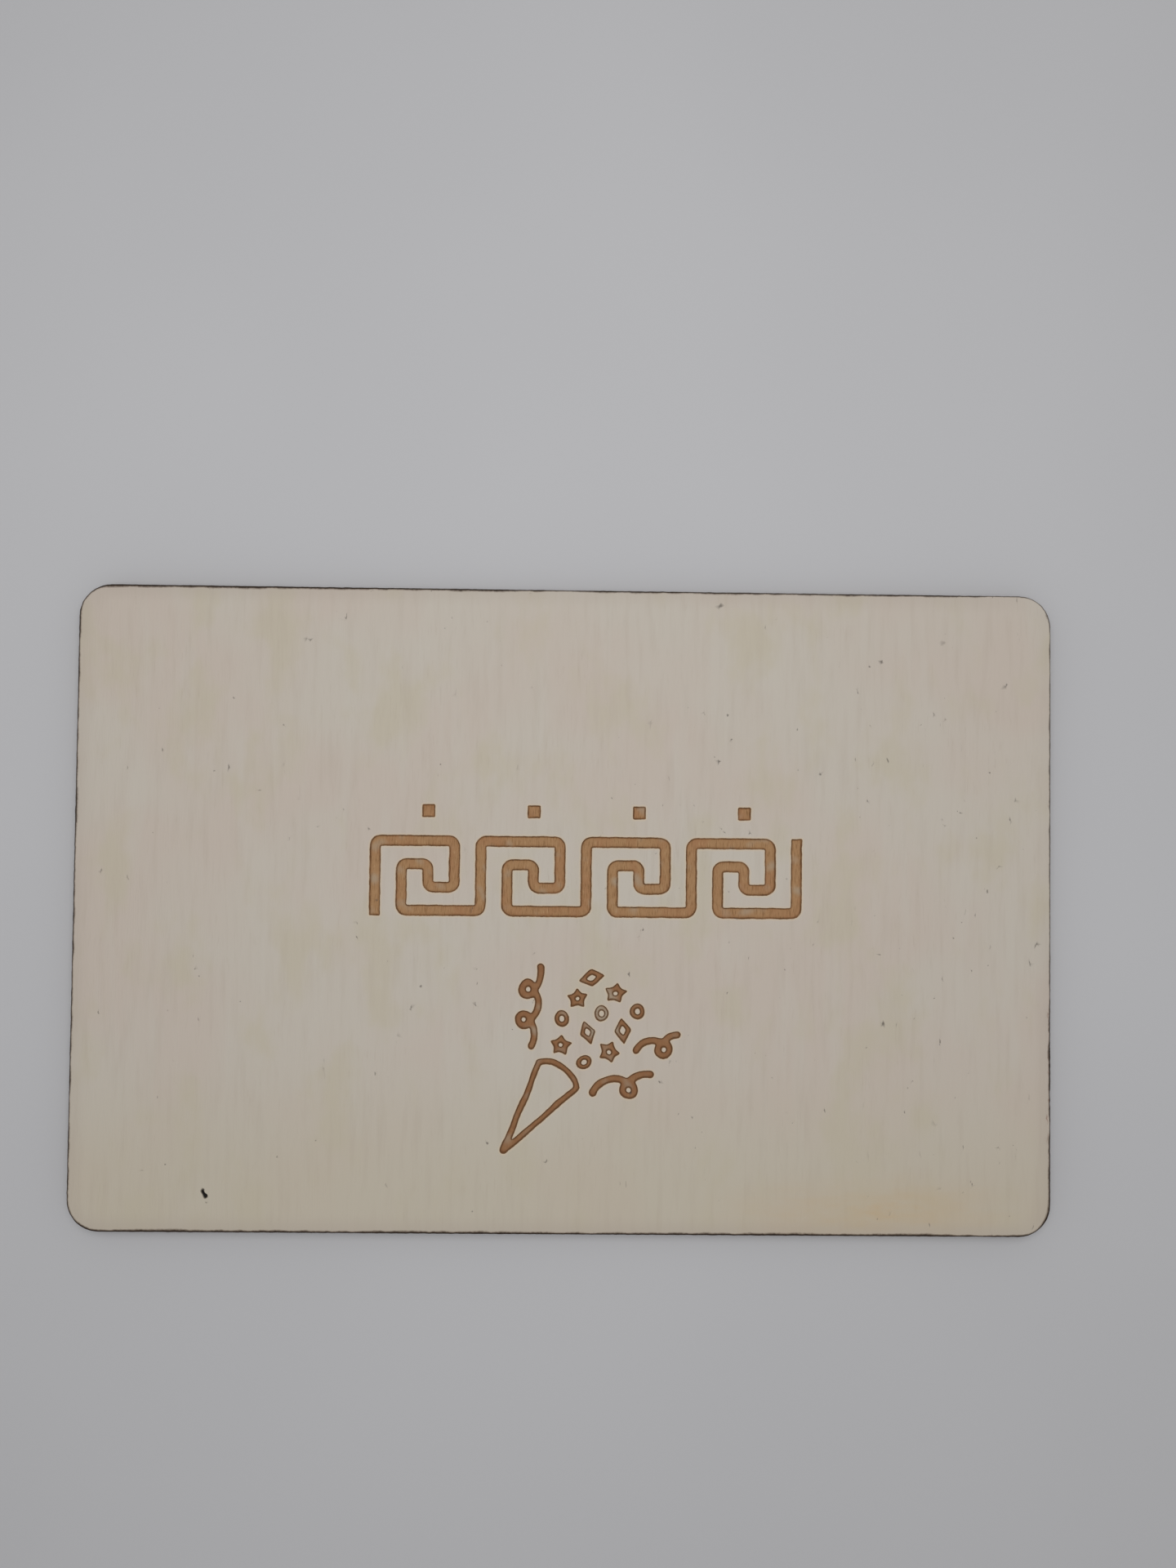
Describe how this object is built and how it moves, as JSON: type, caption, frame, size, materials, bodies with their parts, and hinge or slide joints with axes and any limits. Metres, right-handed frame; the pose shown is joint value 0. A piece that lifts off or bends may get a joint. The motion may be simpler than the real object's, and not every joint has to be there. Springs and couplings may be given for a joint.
{
  "type": "engraved wooden plaque",
  "caption": "Thin rounded plywood plaque with a key band and a party popper laser-engraved in its front face.",
  "frame": {"origin": "middle of the back face", "axes": "+X along the long side, +Y to the top of the engraved motif, +Z out of the engraved front face"},
  "size_m": [0.152, 0.1, 0.003],
  "materials": {
    "front_veneer": "sanded, unvarnished, with laser-burnt engraving and edges",
    "core_veneer": "laser-cut edge, charred brown",
    "back_veneer": "sanded, unvarnished, faintly smoked near the cut",
    "glue": "cured resin, burnt dark at the cut"
  },
  "bodies": {
    "root": {"front_veneer": "front_veneer", "front_glue_line": "glue", "core_veneer": "core_veneer", "back_glue_line": "glue", "back_veneer": "back_veneer"}
  },
  "joints": []
}
